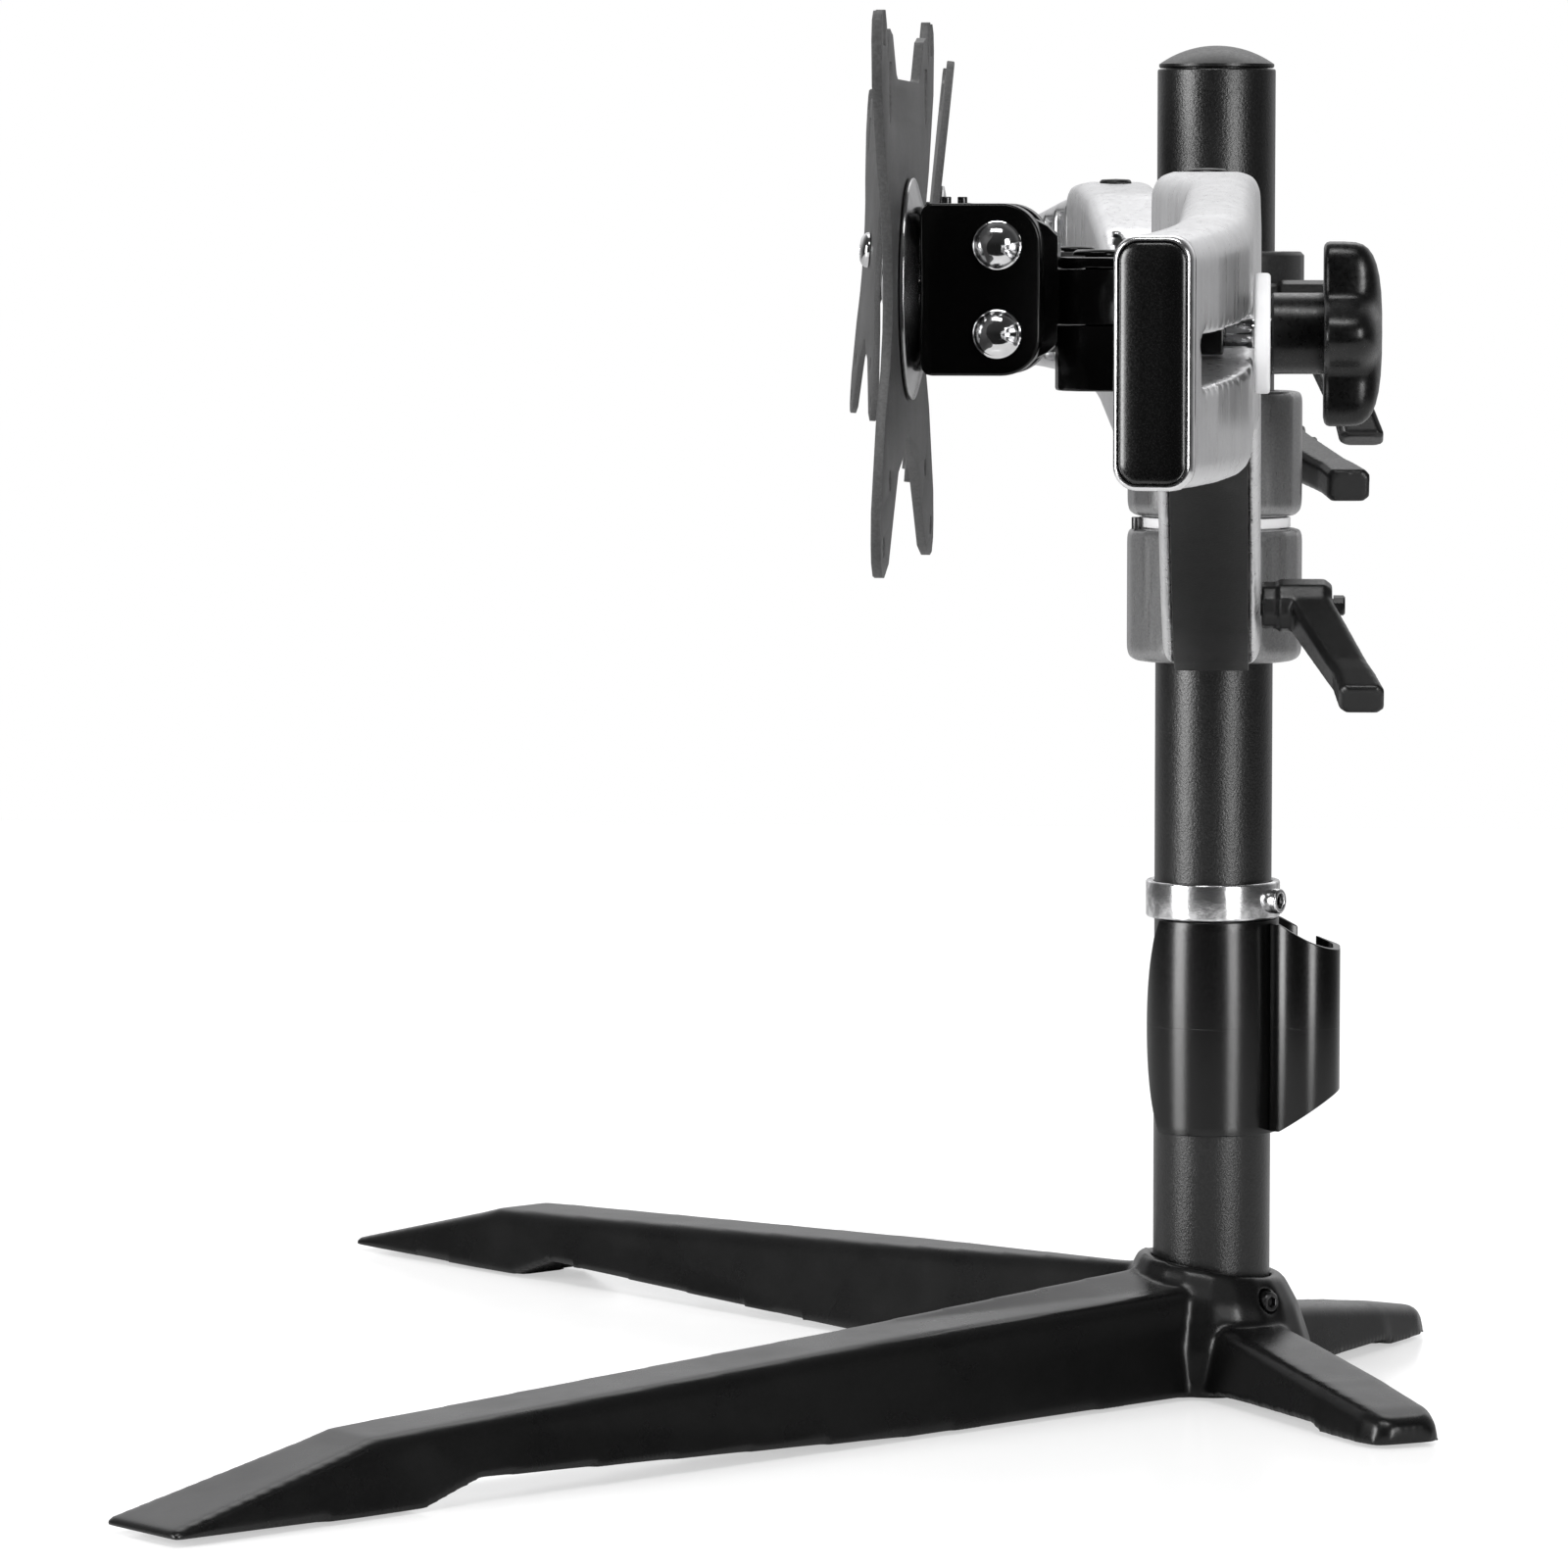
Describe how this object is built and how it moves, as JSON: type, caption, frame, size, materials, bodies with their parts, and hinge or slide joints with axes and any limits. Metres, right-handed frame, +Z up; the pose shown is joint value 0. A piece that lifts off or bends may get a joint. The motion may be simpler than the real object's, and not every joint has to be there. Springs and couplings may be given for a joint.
{
  "type": "triple monitor stand",
  "caption": "Free-standing desk stand that holds flat screens side by side on swivelling slotted arms from a round pole on a four-legged base.",
  "frame": {"origin": "on the desk top, under the pole's axis", "axes": "+Z up along the pole, -Y the way the screens face, +X along the right arm"},
  "size_m": [1.1921, 0.3259, 0.3643],
  "materials": {
    "black_coat": "fine textured black powder coat",
    "black_plastic": "moulded black plastic, satin",
    "black_rubber": "matt black rubber",
    "gloss_black": "glossy black plastic",
    "brushed_silver": "brushed silver aluminium",
    "grey_paint": "silver-grey paint",
    "chrome": "bright chrome plate",
    "nylon": "white nylon",
    "plate_coat": "satin grey-black coat on steel"
  },
  "bodies": {
    "stand": {"base_casting": "black_coat", "front_right_pad": "black_rubber", "rear_right_pad": "black_rubber", "front_left_pad": "black_rubber", "rear_left_pad": "black_rubber", "pole_tube": "black_coat", "pole_cap": "black_plastic", "stop_collar": "chrome", "cable_clip": "black_plastic"},
    "right_sleeve": {"right_liner": "nylon"},
    "right_arm": {"right_arm": "brushed_silver", "right_arm_insert": "black_plastic", "right_arm_end_cap": "gloss_black", "right_arm_plug": "black_plastic"},
    "right_carriage": {"right_carriage": "black_coat", "right_slide_stud": "chrome", "right_washer": "nylon", "right_pan_pin": "black_coat"},
    "right_knob": {"right_knob": "black_plastic"},
    "right_lever": {"right_lever": "black_plastic", "right_lever_screw": "black_coat"},
    "right_link": {"right_link": "black_coat"},
    "right_clevis": {"right_clevis": "black_coat", "right_upper_tilt_bolt": "chrome", "right_lower_tilt_bolt": "chrome"},
    "right_mount": {"right_flange": "grey_paint", "right_plate": "plate_coat", "right_centre_screw": "chrome"},
    "left_sleeve": {"left_liner": "nylon"},
    "left_arm": {"left_arm": "brushed_silver", "left_arm_insert": "black_plastic", "left_arm_end_cap": "gloss_black", "left_arm_plug": "black_plastic"},
    "left_carriage": {"left_carriage": "black_coat", "left_slide_stud": "chrome", "left_washer": "nylon", "left_pan_pin": "black_coat"},
    "left_knob": {"left_knob": "black_plastic"},
    "left_lever": {"left_lever": "black_plastic", "left_lever_screw": "black_coat"},
    "left_link": {"left_link": "black_coat"},
    "left_clevis": {"left_clevis": "black_coat", "left_upper_tilt_bolt": "chrome", "left_lower_tilt_bolt": "chrome"},
    "left_mount": {"left_flange": "grey_paint", "left_plate": "plate_coat", "left_centre_screw": "chrome"},
    "middle_sleeve": {"middle_liner": "nylon"},
    "middle_collar": {"middle_collar": "black_coat", "middle_pan_pin": "black_coat"},
    "middle_lever": {"middle_lever": "black_plastic", "middle_lever_screw": "black_coat"},
    "middle_link": {"middle_link": "black_coat"},
    "middle_clevis": {"middle_clevis": "black_coat", "middle_upper_tilt_bolt": "chrome", "middle_lower_tilt_bolt": "chrome"},
    "middle_mount": {"middle_flange": "grey_paint", "middle_plate": "plate_coat", "middle_centre_screw": "chrome"}
  },
  "joints": [
    {"name": "right_height", "type": "slide", "parent": "stand", "child": "right_sleeve", "axis": [0, 0, 1], "range_m": [-0.055, 0.048]},
    {"name": "right_swivel", "type": "hinge", "parent": "right_sleeve", "child": "right_arm", "pos_m": [0, 0, 0], "axis": [0, 0, 1], "range_deg": [-28, 12]},
    {"name": "right_clamp", "type": "hinge", "parent": "right_arm", "child": "right_lever", "pos_m": [0.055, 0.0129, 0.2164], "axis": [0, 1, 0], "range_deg": [-60, 60]},
    {"name": "right_head_slide", "type": "slide", "parent": "right_arm", "child": "right_carriage", "axis": [0.9991, 0, -0.0419], "range_m": [-0.12, 0.006]},
    {"name": "right_knob_turn", "type": "hinge", "parent": "right_carriage", "child": "right_knob", "pos_m": [0.495, 0.0152, 0.2951], "axis": [0, 1, 0], "continuous": true},
    {"name": "right_pan", "type": "hinge", "parent": "right_carriage", "child": "right_link", "pos_m": [0.495, -0.0196, 0.304], "axis": [0, 0, 1], "range_deg": [-30, 30]},
    {"name": "right_tilt", "type": "hinge", "parent": "right_link", "child": "right_clevis", "pos_m": [0.49411, -0.03928, 0.304], "axis": [0.999, -0.0454, 0], "range_deg": [-15, 15]},
    {"name": "right_turn", "type": "hinge", "parent": "right_clevis", "child": "right_mount", "pos_m": [0.49315, -0.06046, 0.304], "axis": [0.0454, 0.999, 0], "range_deg": [-90, 90]},
    {"name": "left_height", "type": "slide", "parent": "stand", "child": "left_sleeve", "axis": [0, 0, 1], "range_m": [-0.055, 0.048]},
    {"name": "left_swivel", "type": "hinge", "parent": "left_sleeve", "child": "left_arm", "pos_m": [0, 0, 0], "axis": [0, 0, 1], "range_deg": [-19, 21]},
    {"name": "left_clamp", "type": "hinge", "parent": "left_arm", "child": "left_lever", "pos_m": [-0.05616, 0.0061, 0.2546], "axis": [-0.1219, 0.9925, 0], "range_deg": [-60, 60]},
    {"name": "left_head_slide", "type": "slide", "parent": "left_arm", "child": "left_carriage", "axis": [-0.9917, -0.1218, -0.0419], "range_m": [-0.12, 0.006]},
    {"name": "left_knob_turn", "type": "hinge", "parent": "left_carriage", "child": "left_knob", "pos_m": [-0.49316, -0.04524, 0.2951], "axis": [-0.1219, 0.9925, 0], "continuous": true},
    {"name": "left_pan", "type": "hinge", "parent": "left_carriage", "child": "left_link", "pos_m": [-0.48892, -0.07978, 0.3056], "axis": [0, 0, 1], "range_deg": [-30, 30]},
    {"name": "left_tilt", "type": "hinge", "parent": "left_link", "child": "left_clevis", "pos_m": [-0.48652, -0.09933, 0.3056], "axis": [0.9925, 0.1219, 0], "range_deg": [-11.6, 18.4]},
    {"name": "left_turn", "type": "hinge", "parent": "left_clevis", "child": "left_mount", "pos_m": [-0.48394, -0.12034, 0.30686], "axis": [-0.1216, 0.9908, -0.0593], "range_deg": [-90, 90]},
    {"name": "middle_height", "type": "slide", "parent": "stand", "child": "middle_sleeve", "axis": [0, 0, 1], "range_m": [-0.055, 0.048]},
    {"name": "middle_swivel", "type": "hinge", "parent": "middle_sleeve", "child": "middle_collar", "pos_m": [0, 0, 0], "axis": [0, 0, 1], "range_deg": [-15, 15]},
    {"name": "middle_clamp", "type": "hinge", "parent": "middle_collar", "child": "middle_lever", "pos_m": [0.031, 0.0129, 0.2946], "axis": [0, 1, 0], "range_deg": [-60, 60]},
    {"name": "middle_pan", "type": "hinge", "parent": "middle_collar", "child": "middle_link", "pos_m": [0, -0.038, 0.3024], "axis": [0, 0, 1], "range_deg": [-30, 30]},
    {"name": "middle_tilt", "type": "hinge", "parent": "middle_link", "child": "middle_clevis", "pos_m": [0.0011, -0.05767, 0.3024], "axis": [0.9984, 0.0558, 0], "range_deg": [-9.2, 20.8]},
    {"name": "middle_turn", "type": "hinge", "parent": "middle_clevis", "child": "middle_mount", "pos_m": [0.00228, -0.07873, 0.30454], "axis": [-0.0555, 0.9933, -0.1011], "range_deg": [-90, 90]}
  ],
  "couplings": [
    {"joint": "left_height", "follows": "right_height", "ratio": 1},
    {"joint": "middle_height", "follows": "right_height", "ratio": 1}
  ]
}
